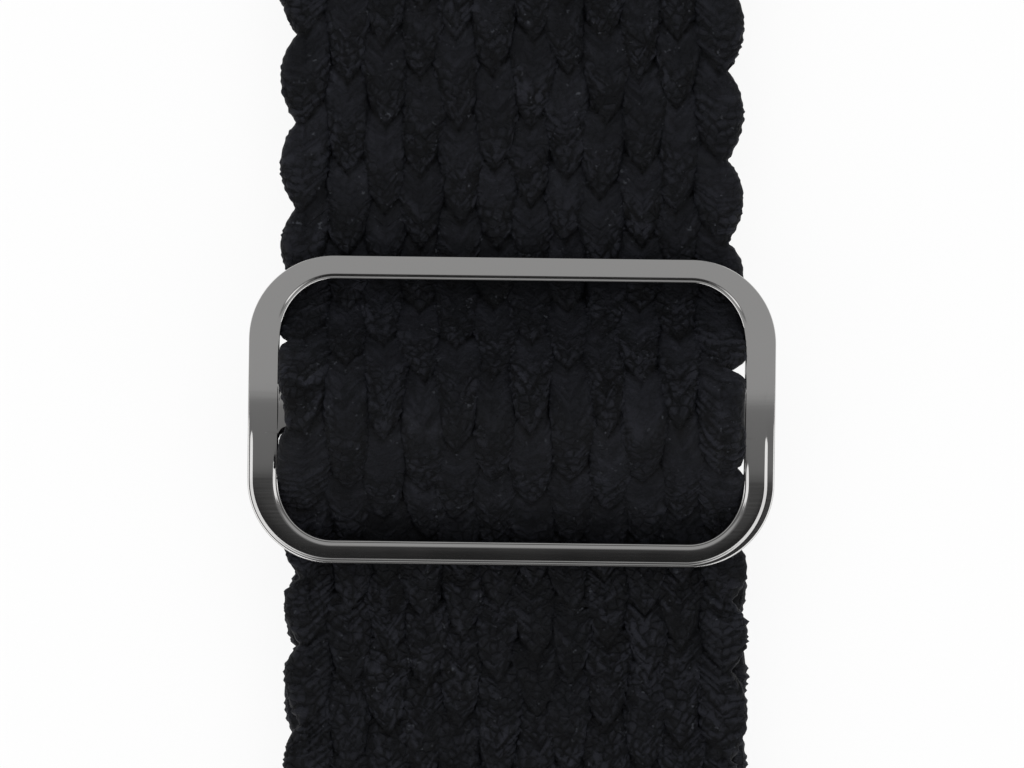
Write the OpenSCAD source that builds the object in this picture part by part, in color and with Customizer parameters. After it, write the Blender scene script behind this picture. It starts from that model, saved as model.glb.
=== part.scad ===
// Adjustable braided watch strap with a sliding buckle.
// A single stretch braid runs from the upper end piece under the buckle's end bars and over
// its centre bar, turns round the lower end piece's pin, comes back beneath itself and is
// sewn round the centre bar. Moving the buckle along the braid changes the strap's length.
// The strap lies flat, face up: +Y is the upper end, +Z is up, the origin lies on the table
// under the middle of the buckle.

/* [Braid] */
// Width of the braid across its edge lobes
braid_w = 20; // [16:0.5:24]
// Thickness of the braid
braid_t = 1.5; // [1.3:0.05:1.7]
// Length of one lobe along the edge
lobe_pitch = 3.85; // [3:0.05:5]
// Depth of the notch between two lobes
notch_depth = 0.7; // [0.4:0.05:1]
// Thickness of the braid where it is pressed and sewn round the centre bar
loop_t = 0.8; // [0.6:0.05:0.9]
// Distance from the middle of the buckle to each end piece's pin
pin_y = 61.6; // [50:0.2:80]
// Length of the sewn seam at the upper end
seam_l = 7; // [5:0.5:12]
// Thickness of the sewing thread
thread_t = 0.25; // [0.15:0.05:0.35]
// Length of a stitch
stitch_l = 1.1; // [0.9:0.05:1.3]
// Distance from one stitch to the next
stitch_pitch = 1.6; // [1.5:0.05:2]
// How much narrower each side of the braid is where it is pulled through the buckle
run_squeeze = 0.35; // [0.3:0.05:0.6]

/* [Buckle] */
// Length of the buckle along the strap
buckle_l = 13.4; // [12.8:0.1:15]
// Width of the buckle's rim
rim_w = 1.2; // [1:0.05:1.4]
// Thickness of the buckle's rim
rim_t = 0.9; // [0.7:0.05:1.1]
// Radius of the rim's rounded edges
rim_edge_r = 0.3; // [0.1:0.05:0.35]
// Outer radius of the buckle's corners
corner_r = 3.7; // [3:0.1:4.5]
// Radius of the arch that the side rails follow
arch_r = 34; // [24:1:60]
// Gap between the braid's edge and the side rail
rail_gap = 0.175; // [0.1:0.025:0.4]
// Width of the centre bar
bar_w = 2; // [1.6:0.1:2.2]
// Thickness of the centre bar
bar_t = 0.9; // [0.7:0.05:1.1]
// Radius of the fillets where the centre bar meets the rails
bar_root_r = 0.6; // [0.2:0.1:0.7]

/* [End piece] */
// Radius of the pin that holds the braid
pin_r = 0.75; // [0.6:0.05:1]
// Thickness of the end piece's cheeks
cheek_t = 0.6; // [0.5:0.05:1]
// Radius of the cheek round the pin
cheek_r = 1.7; // [1.4:0.1:2]
// Gap between the braid's edge and the cheek
cheek_gap = 0.3; // [0.2:0.05:0.5]
// Radius of the barrel that holds the spring bar
barrel_r = 1.5; // [1.3:0.05:2]

/* [Spring bar] */
// Outer radius of the spring bar's tube
tube_r = 0.9; // [0.8:0.05:1]
// Wall of the tube
tube_wall = 0.2; // [0.15:0.05:0.25]
// Radius of the tips that enter the watch's lugs
tip_r = 0.4; // [0.3:0.05:0.45]
// Length of each tip beyond the end piece
tip_l = 0.9; // [0.6:0.1:1.2]
// Travel of the release knob
travel = 1.2; // [1.1:0.1:1.6]
// Radius of the release knob's head
knob_r = 0.55; // [0.45:0.05:0.7]
// Height of the release knob's head
knob_h = 0.6; // [0.4:0.05:0.7]
// Turns of the coil spring
spring_turns = 10; // [6:1:12]

/* [Hidden] */
$fn = 64;

braid_colour = "#17181d";
thread_colour = "#0e0f12";
steel_colour = "#b4b6b9";
spring_colour = "#8e9194";

// Clearances
layer_gap = 0.1;    // between two layers of braid that lie on each other
under_bar = 0.1;    // between the braid and an end bar above it
wrap_gap = 0.02;    // between the centre bar and the braid sewn round it
sewn_gap = 0.02;    // between two layers that are sewn together
hump_clear = 0.3;   // between the sewn loop and the braid that runs over it
turn_gap = 0.08;    // running clearance of the braid's turn on its pin
swing_gap = 0.35;   // between the braid's turn and the barrel
press_gap = 0.01;   // round a pressed pin or plug
slide_gap = 0.05;   // round a sliding or turning piece
cut = 1;            // how far a cutter reaches past the face that it cuts

// Buckle: the rails are arcs, and the two ends are flat and tangent to them
rail_x = braid_w / 2 + rail_gap + rim_w / 2;
corner_c = corner_r - rim_w / 2;
rail_half = buckle_l / 2 - corner_r;
end_tilt = asin(rail_half / arch_r);
end_drop = arch_r * (1 - cos(end_tilt)) + corner_c * sin(end_tilt) + rim_w / 2 * sin(end_tilt);
end_bar_y = buckle_l / 2 - rim_w / 2;
rail_inset = 0.02;  // the rails are this much slimmer than the ends that they run into
rail_tilt = end_tilt + asin(0.3 / arch_r);
buckle_z = 2 * braid_t + layer_gap + under_bar + rim_t / 2 + end_drop;

// Braid: heights of its layers above the table
layer_z = 1.5 * braid_t + layer_gap;
loop_top = buckle_z + bar_t / 2 + wrap_gap + loop_t;
hump_z = loop_top + hump_clear + braid_t / 2;
hump_l = end_bar_y - 0.4;
part_y = buckle_l / 2 + 1.2;
loop_w = braid_w - 2 * notch_depth;
rise_y0 = -(end_bar_y - 2.1);
rise_y1 = -(bar_w / 2 + 0.2);
tail_y0 = -(bar_w / 2 + 1);
tail_y1 = -(bar_w / 2 - 0.3);
tail_end = rise_y0 + 1;

// Ends
turn_in = pin_r + turn_gap;
turn_out = turn_in + braid_t;
pin_z = turn_out;
axis_d = turn_out + swing_gap + barrel_r;
end_w = braid_w + 2 * cheek_gap + 2 * cheek_t;
fold_l = 5.5;
seam_y = pin_y - fold_l;
fold_end = seam_y - seam_l;
upper_part_y = fold_end - 1.1;

// Spring bar
tube_half = end_w / 2;
lip = 0.3;
bore_r = tube_r - tube_wall;
plunger_l = 4.2;
plug_l = 6;
shank_r = 0.3;
shoulder_x = tube_half - lip - 0.02;
neck_r = tip_r + 0.05;
knob_x = shoulder_x - plunger_l + 1;
slot_half = shank_r + 0.1;
spring_r = bore_r - 0.2;
wire_r = 0.1;

function smooth(u) = let (c = min(1, max(0, u))) c * c * (3 - 2 * c);
function arc(cy, cz, r, a0, a1, n) =
    [for (i = [0:n]) [cy + r * cos(a0 + (a1 - a0) * i / n), cz + r * sin(a0 + (a1 - a0) * i / n)]];
function span(a, b, n) = [for (i = [0:n]) a + (b - a) * i / n];

// Middle of the top layer where it passes through the buckle
function run_z(y) = layer_z + (hump_z - layer_z) * (1 + cos(180 * min(1, abs(y) / hump_l))) / 2;
// Upper and lower face of the layer that comes back to the centre bar
function rise(y) = smooth((y - rise_y0) / (rise_y1 - rise_y0));
function back_top(y) = braid_t + (buckle_z - bar_t / 2 - wrap_gap - braid_t) * rise(y);
function back_low(y) = (buckle_z - bar_t / 2 - wrap_gap - loop_t) * rise(y);
// Lower face of the sewn tail, which comes down from the bar onto that layer
function tail_low(y) = let (rest = back_top(y) + sewn_gap)
    rest + (buckle_z + bar_t / 2 + wrap_gap - rest) * smooth((y - tail_y0) / (tail_y1 - tail_y0));

// Plan of a braid of some width between two places, with its row of lobes along each edge
module braid_plan(y0, y1, w) {
    lobe_r = (lobe_pitch * lobe_pitch / 4 + notch_depth * notch_depth) / (2 * notch_depth);
    first = floor(y0 / lobe_pitch) - 1;
    last = ceil(y1 / lobe_pitch) + 1;
    intersection() {
        translate([-w, y0]) square([2 * w, y1 - y0]);
        union() {
            translate([-w / 2 + notch_depth, y0 - cut])
                square([w - 2 * notch_depth, y1 - y0 + 2 * cut]);
            for (i = [first:last], s = [-1, 1])
                translate([s * (w / 2 - lobe_r), (i + 0.25 * s) * lobe_pitch])
                    circle(lobe_r);
        }
    }
}

// Side view drawn as [y, z] and carried across the strap
module across(w) {
    rotate([90, 0, 90]) linear_extrude(w, center = true) children();
}

// Stretch of braid with lobed edges and the side view given by its points
module lobed(points, y0, y1, w) {
    intersection() {
        across(2 * w) polygon(points);
        translate([0, 0, -cut]) linear_extrude(hump_z + braid_t + 2 * cut) braid_plan(y0, y1, w);
    }
}

// Straight stretch between two places, from one height of its middle to another
module straight_run(y0, z0, y1, z1) {
    h = braid_t / 2;
    lobed([[y0, z0 - h], [y1, z1 - h], [y1, z1 + h], [y0, z0 + h]], y0, y1, braid_w);
}

// Half turn of braid round a pin at the origin, open towards +Y
module half_turn() {
    difference() {
        rotate([0, 90, 0]) cylinder(r = turn_out, h = braid_w, center = true);
        rotate([0, 90, 0]) cylinder(r = turn_in, h = braid_w + 2 * cut, center = true);
        translate([-braid_w, 0, -2 * turn_out]) cube([2 * braid_w, 2 * turn_out, 4 * turn_out]);
    }
}

module strap_upper_run() {
    color(braid_colour)
        straight_run(part_y, layer_z, upper_part_y, pin_z + braid_t / 2 + sewn_gap / 2);
}

module strap_buckle_run() {
    ys = span(-part_y, part_y, 48);
    low = [for (y = ys) [y, run_z(y) - braid_t / 2]];
    top = [for (i = [len(ys) - 1:-1:0]) [ys[i], run_z(ys[i]) + braid_t / 2]];
    color(braid_colour) lobed(concat(low, top), -part_y, part_y, braid_w - 2 * run_squeeze);
}

module strap_lower_run() {
    color(braid_colour)
        straight_run(-pin_y, pin_z + turn_in + braid_t / 2, -part_y, layer_z);
}

module strap_lower_turn() {
    color(braid_colour) translate([0, -pin_y, pin_z]) half_turn();
}

module strap_return_run() {
    color(braid_colour) straight_run(-pin_y, braid_t / 2, -part_y, braid_t / 2);
}

// Sewn end: it rises to the centre bar, goes round it and lies back on itself
module strap_bar_loop() {
    nose_y = bar_w / 2 - bar_t / 2;
    out_r = bar_t / 2 + wrap_gap + loop_t;
    in_r = bar_t / 2 + wrap_gap;
    rise_ys = span(rise_y0, rise_y1, 12);
    down_ys = span(tail_y1, tail_end, 16);
    outside = concat(
        [[-part_y, 0]],
        [for (y = rise_ys) [y, back_low(y)]],
        arc(nose_y, buckle_z, out_r, -90, 90, 16),
        [for (y = down_ys) [y, tail_low(y) + loop_t]]);
    inside = concat(
        [for (i = [len(down_ys) - 1:-1:0]) [down_ys[i], tail_low(down_ys[i])]],
        arc(nose_y, buckle_z, in_r, 90, -90, 16),
        [for (i = [len(rise_ys) - 1:-1:0]) [rise_ys[i], back_top(rise_ys[i])]],
        [[-part_y, braid_t]]);
    color(braid_colour) across(loop_w) polygon(concat(outside, inside));
}

// Upper end: the braid goes round the pin and its tail is sewn beneath. Each leg reaches into the
// half turn with a tongue, so that they stay one piece at any size
module strap_upper_fold() {
    top_in = function(y) sewn_gap / 2 + (turn_in - sewn_gap / 2) * smooth((y - seam_y) / fold_l);
    ys = span(seam_y, pin_y, 8);
    n = len(ys) - 1;
    tongue = [pin_y + 0.2 * braid_t, turn_in + 0.1 * braid_t, turn_out - 0.1 * braid_t];
    top_leg = concat(
        [[upper_part_y, sewn_gap / 2]],
        [for (y = ys) [y, top_in(y)]],
        [[tongue[0], tongue[1]], [tongue[0], tongue[2]]],
        [for (i = [n:-1:0]) [ys[i], top_in(ys[i]) + braid_t]],
        [[upper_part_y, sewn_gap / 2 + braid_t]]);
    tail_leg = concat(
        [[fold_end, -sewn_gap / 2 - braid_t]],
        [for (y = ys) [y, -top_in(y) - braid_t]],
        [[tongue[0], -tongue[2]], [tongue[0], -tongue[1]]],
        [for (i = [n:-1:0]) [ys[i], -top_in(ys[i])]],
        [[fold_end, -sewn_gap / 2]]);
    color(braid_colour) union() {
        translate([0, pin_y, pin_z]) mirror([0, 1, 0]) half_turn();
        translate([0, 0, pin_z]) across(braid_w) polygon(top_leg);
        translate([0, 0, pin_z]) across(braid_w) polygon(tail_leg);
    }
}

// Row of stitches across the strap, each one a closed loop of thread through the layers
module stitch_row(y, low, top, w) {
    n = floor((w - stitch_l) / stitch_pitch);
    for (i = [0:n - 1])
        translate([(i - (n - 1) / 2) * stitch_pitch, y, 0]) difference() {
            translate([-stitch_l / 2, -thread_t / 2, low - thread_t])
                cube([stitch_l, thread_t, top - low + 2 * thread_t]);
            translate([-stitch_l / 2 + thread_t, -thread_t, low])
                cube([stitch_l - 2 * thread_t, 2 * thread_t, top - low]);
        }
}

module bar_loop_stitching() {
    color(thread_colour)
        for (y = [tail_end + 0.4, tail_end + 1.2])
            stitch_row(y, back_low(y) - 0.05, tail_low(y) + loop_t, loop_w);
}

module upper_fold_stitching() {
    half = braid_t + sewn_gap / 2;
    color(thread_colour)
        for (y = [fold_end + 0.8, seam_y - 0.4])
            stitch_row(y, pin_z - half, pin_z + half, braid_w);
}

// Section of the rim: a rectangle with rounded corners, centred on the origin
module rim_section(a, b) {
    square([a - 2 * rim_edge_r, b], center = true);
    square([a, b - 2 * rim_edge_r], center = true);
    for (sx = [-1, 1], sy = [-1, 1])
        translate([sx * (a / 2 - rim_edge_r), sy * (b / 2 - rim_edge_r)]) circle(rim_edge_r);
}

// One end of the buckle: two corners and the end bar, in the plane tangent to the rails
module buckle_end() {
    bar_x = rail_x - corner_c;
    translate([0, arch_r * sin(end_tilt), buckle_z - arch_r * (1 - cos(end_tilt))])
        rotate([-end_tilt, 0, 0]) {
            for (s = [-1, 1])
                translate([s * bar_x, 0, 0]) rotate([0, 0, s > 0 ? 0 : 90])
                    rotate_extrude(angle = 90) translate([corner_c, 0]) rim_section(rim_w, rim_t);
            translate([0, corner_c, 0]) rotate([90, 0, 90])
                linear_extrude(2 * bar_x, center = true) rim_section(rim_w, rim_t);
        }
}

// Fillet between the centre bar and a rail, in the quarter where x and y are positive
module root_fillet() {
    inner_x = rail_x - rim_w / 2;
    side_y = bar_w / 2 - 0.1;
    translate([0, 0, buckle_z]) linear_extrude(0.7 * min(bar_t, rim_t), center = true) difference() {
        translate([inner_x - bar_root_r, side_y - 0.2])
            square([bar_root_r + 0.2, bar_root_r + 0.2]);
        translate([inner_x - bar_root_r, side_y + bar_root_r]) circle(bar_root_r);
    }
}

// Centre bar, level with the rails and round at its edges
module centre_bar() {
    translate([0, 0, buckle_z]) across(2 * rail_x) {
        square([bar_w - bar_t, bar_t], center = true);
        for (s = [-1, 1]) translate([s * (bar_w - bar_t) / 2, 0]) circle(bar_t / 2);
    }
    for (mx = [0, 1], my = [0, 1]) mirror([mx, 0, 0]) mirror([0, my, 0]) root_fillet();
}

module buckle_frame() {
    color(steel_colour) union() {
        for (s = [-1, 1])
            translate([s * rail_x, 0, buckle_z - arch_r]) rotate([0, 90, 0])
                rotate([0, 0, 180 - rail_tilt]) rotate_extrude(angle = 2 * rail_tilt)
                    translate([arch_r, 0])
                        rim_section(rim_t - 2 * rail_inset, rim_w - 2 * rail_inset);
        buckle_end();
        mirror([0, 1, 0]) buckle_end();
        centre_bar();
    }
}

// Solid turned about the X axis, drawn as [x, radius]
module turned() {
    rotate([0, 90, 0]) rotate_extrude() rotate([0, 0, 90]) mirror([0, 1, 0]) children();
}

// The end pieces are drawn with the braid's pin on the X axis and the barrel towards -Y
module at_lower_end() {
    translate([0, -pin_y, pin_z]) children();
}

module at_upper_end() {
    translate([0, pin_y, pin_z]) mirror([0, 1, 0]) children();
}

// Side view of a cheek: two circles joined by their outer tangents
module cheek_side() {
    lean = asin((cheek_r - barrel_r) / axis_d);
    px = cheek_r * cos(lean);
    py = -cheek_r * sin(lean);
    bx = barrel_r * cos(lean);
    by = -axis_d - barrel_r * sin(lean);
    circle(cheek_r);
    translate([0, -axis_d]) circle(barrel_r);
    polygon([[-px, py], [-bx, by], [bx, by], [px, py]]);
}

// Slot for the release knob's shank, through the lower wall of a tube on the X axis
module knob_slot(wall_r) {
    translate([knob_x - travel, 0, -wall_r]) cylinder(r = slot_half, h = 2 * wall_r, center = true);
    translate([knob_x, 0, -wall_r]) cylinder(r = slot_half, h = 2 * wall_r, center = true);
    translate([knob_x - travel, -slot_half, -2 * wall_r]) cube([travel, 2 * slot_half, 2 * wall_r]);
}

module end_piece() {
    color(steel_colour) difference() {
        union() {
            translate([0, -axis_d, 0]) rotate([0, 90, 0])
                cylinder(r = barrel_r, h = end_w, center = true);
            for (s = [-1, 1])
                translate([s * (end_w - cheek_t) / 2, 0, 0]) rotate([0, 90, 0])
                    linear_extrude(cheek_t, center = true) cheek_side();
        }
        translate([0, -axis_d, 0]) rotate([0, 90, 0])
            cylinder(r = tube_r + slide_gap, h = end_w + 2 * cut, center = true);
        rotate([0, 90, 0]) cylinder(r = pin_r + press_gap, h = end_w + 2 * cut, center = true);
        translate([0, -axis_d, 0]) knob_slot(barrel_r);
    }
}

// Pin with chamfered ends, pressed into both cheeks
module strap_pin() {
    half = end_w / 2;
    chamfer = 0.15;
    color(steel_colour) turned()
        polygon([[-half, 0], [-half, pin_r - chamfer], [-half + chamfer, pin_r],
            [half - chamfer, pin_r], [half, pin_r - chamfer], [half, 0]]);
}

// Tube of the spring bar, with a lip that keeps the plunger in
module bar_tube() {
    color(steel_colour) translate([0, -axis_d, 0]) difference() {
        rotate([0, 90, 0]) cylinder(r = tube_r, h = 2 * tube_half, center = true);
        translate([-tube_half - cut, 0, 0]) rotate([0, 90, 0])
            cylinder(r = bore_r, h = 2 * tube_half + cut - lip);
        rotate([0, 90, 0]) cylinder(r = neck_r + slide_gap, h = tube_half + cut);
        knob_slot(tube_r);
    }
}

// Plug pressed into the tube, with the tip that doesn't move
module fixed_tip() {
    r = bore_r - press_gap;
    dome = 0.15;
    color(steel_colour) translate([0, -axis_d, 0]) turned()
        polygon([[-end_w / 2 - tip_l, 0], [-end_w / 2 - tip_l, tip_r - dome],
            [-end_w / 2 - tip_l + dome, tip_r], [-tube_half, tip_r], [-tube_half, r],
            [-tube_half + plug_l, r], [-tube_half + plug_l, 0]]);
}

// Plunger that slides in the tube, with a tapered neck behind the tip that draws back
module release_plunger() {
    r = bore_r - slide_gap;
    dome = 0.15;
    color(steel_colour) translate([0, -axis_d, 0]) difference() {
        turned()
            polygon([[end_w / 2 + tip_l, 0], [end_w / 2 + tip_l, tip_r - dome],
                [end_w / 2 + tip_l - dome, tip_r], [tube_half, tip_r],
                [shoulder_x, neck_r], [shoulder_x, r],
                [shoulder_x - plunger_l, r], [shoulder_x - plunger_l, 0]]);
        translate([knob_x, 0, -2 * r]) cylinder(r = shank_r + press_gap, h = 2 * r + 0.3);
    }
}

// Knob under the barrel, with its shank pressed into the plunger
module release_knob() {
    color(steel_colour) translate([knob_x, -axis_d, 0]) {
        translate([0, 0, -barrel_r - 0.2]) cylinder(r = shank_r, h = barrel_r + 0.2 + 0.28);
        translate([0, 0, -barrel_r - 0.08 - knob_h]) cylinder(r = knob_r, h = knob_h);
    }
}

// Coil spring between the plug and the plunger: rings of points along a helix
module bar_spring() {
    steps = 12;
    sides = 6;
    x0 = -tube_half + plug_l + wire_r + 0.02;
    x1 = shoulder_x - plunger_l - wire_r - 0.02;
    n = spring_turns * steps;
    points = [for (i = [0:n], k = [0:sides - 1])
        let (a = 360 * i / steps, b = 360 * k / sides, r = spring_r + wire_r * cos(b))
            [x0 + (x1 - x0) * i / n + wire_r * sin(b), r * cos(a), r * sin(a)]];
    skin = [for (i = [0:n - 1], k = [0:sides - 1], half = [0, 1])
        let (j = (k + 1) % sides, a = i * sides, b = (i + 1) * sides)
            half == 0 ? [a + k, a + j, b + j] : [a + k, b + j, b + k]];
    first = [for (k = [sides - 1:-1:0]) k];
    last = [for (k = [0:sides - 1]) n * sides + k];
    color(spring_colour) translate([0, -axis_d, 0]) polyhedron(points, concat(skin, [first, last]));
}

strap_upper_run();
strap_buckle_run();
strap_lower_run();
strap_lower_turn();
strap_return_run();
strap_bar_loop();
strap_upper_fold();
buckle_frame();
bar_loop_stitching();
upper_fold_stitching();
at_upper_end() end_piece();  // upper_end_piece
at_lower_end() end_piece();  // lower_end_piece
at_upper_end() strap_pin();  // upper_strap_pin
at_lower_end() strap_pin();  // lower_strap_pin
at_upper_end() bar_tube();  // upper_bar_tube
at_lower_end() bar_tube();  // lower_bar_tube
at_upper_end() fixed_tip();  // upper_fixed_tip
at_lower_end() fixed_tip();  // lower_fixed_tip
at_upper_end() release_plunger();  // upper_release_plunger
at_lower_end() release_plunger();  // lower_release_plunger
at_upper_end() release_knob();  // upper_release_knob
at_lower_end() release_knob();  // lower_release_knob
at_upper_end() bar_spring();  // upper_bar_spring
at_lower_end() bar_spring();  // lower_bar_spring
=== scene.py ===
# %% [markdown]
# # A braided watch strap with a sliding buckle
# The strap is one stretch braid. It is folded and sewn round a pin at the upper end, runs under the
# buckle's end bars and over its centre bar, turns round the pin of the lower end piece, and comes back
# beneath itself to be sewn round the centre bar. The CAD model gives every place and size, so this
# lesson only has to dress it: a braid made of real yarn ridges, polished and brushed steel, thread, and
# the plain light of a product picture.

# %% Load the frame
import math
import bpy
import numpy as np
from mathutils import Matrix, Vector


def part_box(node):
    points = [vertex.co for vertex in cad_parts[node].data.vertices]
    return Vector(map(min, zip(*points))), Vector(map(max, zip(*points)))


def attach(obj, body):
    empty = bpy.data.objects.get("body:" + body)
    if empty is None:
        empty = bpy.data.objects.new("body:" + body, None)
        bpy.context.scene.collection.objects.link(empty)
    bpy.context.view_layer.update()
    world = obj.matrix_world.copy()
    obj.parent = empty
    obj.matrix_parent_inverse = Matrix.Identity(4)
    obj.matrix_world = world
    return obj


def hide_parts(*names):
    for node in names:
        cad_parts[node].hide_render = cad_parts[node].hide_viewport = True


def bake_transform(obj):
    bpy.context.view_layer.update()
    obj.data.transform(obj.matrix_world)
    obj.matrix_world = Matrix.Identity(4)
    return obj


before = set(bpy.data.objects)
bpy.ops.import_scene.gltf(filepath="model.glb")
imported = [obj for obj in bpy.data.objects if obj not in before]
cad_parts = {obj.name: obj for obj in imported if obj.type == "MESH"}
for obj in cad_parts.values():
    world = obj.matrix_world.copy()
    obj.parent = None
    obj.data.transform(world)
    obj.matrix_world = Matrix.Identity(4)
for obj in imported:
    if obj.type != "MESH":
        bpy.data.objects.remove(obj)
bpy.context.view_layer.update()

# %% [markdown]
# ## Helpers
# Blender wants metres and the strap is drawn in millimetres, so one number turns one into the other.
# A surface here is always a grid of points worked out as whole arrays. Small helpers join the grid's
# neighbours into four-sided faces, close its ends, turn its faces outwards and join shapes into one.
# The last one hands all of it to Blender in one go, which is far quicker than adding points one by one.

# %% Grid and mesh helpers
MM = 0.001
NO_FANS = np.zeros((0, 3), int)


def tube_faces(rows, around):
    """Faces of an open tube of rows x around points, in which only j wraps round: point (i, j) joins
    (i, j+1), (i+1, j+1) and (i+1, j)."""
    i, j = np.meshgrid(np.arange(rows - 1), np.arange(around), indexing="ij")
    k = (j + 1) % around
    quads = np.stack([i * around + j, i * around + k, (i + 1) * around + k, (i + 1) * around + j], -1)
    return quads.reshape(-1, 4)


def ring_faces(rows, around):
    """Faces of a ring of rows x around points, in which i and j both wrap round."""
    i, j = np.meshgrid(np.arange(rows), np.arange(around), indexing="ij")
    ahead, k = (i + 1) % rows, (j + 1) % around
    quads = np.stack([i * around + j, ahead * around + j, ahead * around + k, i * around + k], -1)
    return quads.reshape(-1, 4)


def enclosed_volume(points, quads, fans=NO_FANS):
    """Volume inside the faces: the sum of the small pyramids from the origin to every triangle."""
    tris = np.concatenate([quads[:, [0, 1, 2]], quads[:, [0, 2, 3]], fans])
    a, b, c = points[tris[:, 0]], points[tris[:, 1]], points[tris[:, 2]]
    return float(np.einsum("ij,ij->i", a, np.cross(b, c)).sum() / 6)


def tube_points(grid):
    """The values of a grid of shape (rows, around, 3), then the mean of its first and of its last ring."""
    return np.concatenate([grid.reshape(-1, 3), grid[:1].mean(1), grid[-1:].mean(1)])


def outward(points, quads, fans=NO_FANS):
    """The same faces, turned round if the volume is negative, because they then point inwards."""
    if enclosed_volume(points, quads, fans) < 0:
        quads, fans = quads[:, ::-1], fans[:, ::-1]
    return quads, fans


def closed_tube(grid):
    """Points and faces of a closed tube: a fan of triangles joins each end's ring to its middle."""
    rows, around = grid.shape[:2]
    points = tube_points(grid)
    ring = np.arange(around)
    after = (ring + 1) % around
    first = np.full(around, rows * around)
    low = np.stack([first, after, ring], -1)
    high = np.stack([first + 1, (rows - 1) * around + ring, (rows - 1) * around + after], -1)
    return points, *outward(points, tube_faces(rows, around), np.concatenate([low, high]))


def joined(parts):
    """Points and faces of several shapes as those of one: the faces count on from shape to shape."""
    points, quads, fans = zip(*parts)
    starts = np.cumsum([0] + [len(p) for p in points[:-1]])
    quads = [q + start for q, start in zip(quads, starts)]
    fans = [f + start for f, start in zip(fans, starts)]
    return np.concatenate(points), np.concatenate(quads), np.concatenate(fans)


def put(name, data):
    """A new object in the scene, at the origin, that shows the data."""
    thing = bpy.data.objects.new(name, data)
    bpy.context.scene.collection.objects.link(thing)
    return thing


def make_piece(name, points, quads, fans=NO_FANS, attributes=None):
    """A smooth mesh object at the origin from points in millimetres."""
    mesh = bpy.data.meshes.new(name)
    mesh.vertices.add(len(points))
    mesh.vertices.foreach_set("co", (points * MM).astype(np.float32).ravel())
    corners = np.concatenate([quads.ravel(), fans.ravel()]).astype(np.int32)
    sizes = np.concatenate([np.full(len(quads), 4), np.full(len(fans), 3)])
    mesh.loops.add(len(corners))
    mesh.loops.foreach_set("vertex_index", corners)
    mesh.polygons.add(len(sizes))
    mesh.polygons.foreach_set("loop_start", (np.cumsum(sizes) - sizes).astype(np.int32))
    mesh.polygons.foreach_set("use_smooth", np.ones(len(sizes), bool))
    for label, values in (attributes or {}).items():
        layer = mesh.attributes.new(label, "FLOAT_VECTOR", "POINT")
        layer.data.foreach_set("vector", values.astype(np.float32).ravel())
    mesh.update(calc_edges=True)
    mesh.validate()
    return put(name, mesh)


print("3 x 4 points make", len(tube_faces(3, 4)), "faces as a tube and", len(ring_faces(3, 4)), "as a ring")


# %% [markdown]
# ## Colours and materials
# A colour is written the way a paint chart gives it, as a hex value, and one function turns it into the
# linear light that Blender works with. A material is a small tree of nodes, and one helper adds a node
# together with its settings and the links into it.

# %% Material helpers
def hex_colour(text):
    """Linear light from an sRGB hex value: each channel c becomes ((c + 0.055) / 1.055) to the power
    2.4, or c / 12.92 where it is very dark."""
    c = np.array([int(text[i:i + 2], 16) for i in (1, 3, 5)]) / 255
    linear = np.where(c <= 0.04045, c / 12.92, ((c + 0.055) / 1.055) ** 2.4)
    return (*linear.tolist(), 1.0)


def add_node(tree, kind, settings=None, values=None, links=None):
    """A node of one kind, with its settings, the values of its sockets and the sockets that feed it. A
    node among those stands for its first output."""
    node = tree.nodes.new("ShaderNode" + kind)
    for key, value in (settings or {}).items():
        setattr(node, key, value)
    for key, value in (values or {}).items():
        node.inputs[key].default_value = value
    for key, source in (links or {}).items():
        output = source.outputs[0] if isinstance(source, bpy.types.Node) else source
        tree.links.new(output, node.inputs[key])
    return node


def new_material(name):
    """A material with its tree of nodes and its main shader, already joined to the output."""
    material = bpy.data.materials.new(name)
    material.use_nodes = True
    tree = material.node_tree
    tree.nodes.clear()
    shader = add_node(tree, "BsdfPrincipled")
    add_node(tree, "OutputMaterial", links={"Surface": shader})
    return material, tree, shader


def set_ramp(node, stops):
    """Places the stops of a colour ramp, each one a position and a linear colour."""
    ramp = node.color_ramp
    while len(ramp.elements) < len(stops):
        ramp.elements.new(0.5)
    for element, (place, colour) in zip(ramp.elements, stops):
        element.position = place
        element.color = colour


print("the middle grey #808080 is", round(hex_colour("#808080")[0], 3), "in linear light")


# %% [markdown]
# ## The path of the braid
# Seen from the side the braid is one line that never breaks. Everything on it is measured by the length
# along that line, so the pattern of the weave carries on from one piece to the next. The line is drawn
# with the CAD model's own formulas, from the sewn tail at the upper end to the sewn tail at the buckle.

# %% Sizes that the CAD model gives, in millimetres
BRAID_W, BRAID_T, LOOP_T, NOTCH_DEPTH = 20.0, 1.5, 0.8, 0.7
# Gaps between the two layers, in a seam, round the centre bar, under the end bars and under the hump
LAYER_GAP, SEWN_GAP, WRAP_GAP, BAR_GAP, HUMP_GAP = 0.1, 0.02, 0.02, 0.1, 0.3
PIN_Y, PIN_Z, TURN_R = 61.6, 2.33, 1.58
RAIL_X, END_BAR_Y, CORNER_R, RIM_W, RIM_T, RIM_EDGE_R = 10.775, 6.1, 3.1, 1.2, 0.9, 0.07
RAIL_HALF, ARCH_R, BAR_W, BAR_T = 3.0, 34.0, 2.0, 0.9
END_TILT = math.asin(RAIL_HALF / ARCH_R)
END_DROP = ARCH_R * (1 - math.cos(END_TILT)) + (CORNER_R + RIM_W / 2) * math.sin(END_TILT)
BUCKLE_Z = 2 * BRAID_T + LAYER_GAP + BAR_GAP + RIM_T / 2 + END_DROP
BAR_LOW, BAR_TOP = BUCKLE_Z - BAR_T / 2 - WRAP_GAP, BUCKLE_Z + BAR_T / 2 + WRAP_GAP
LAYER_Z = 1.5 * BRAID_T + LAYER_GAP
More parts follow.
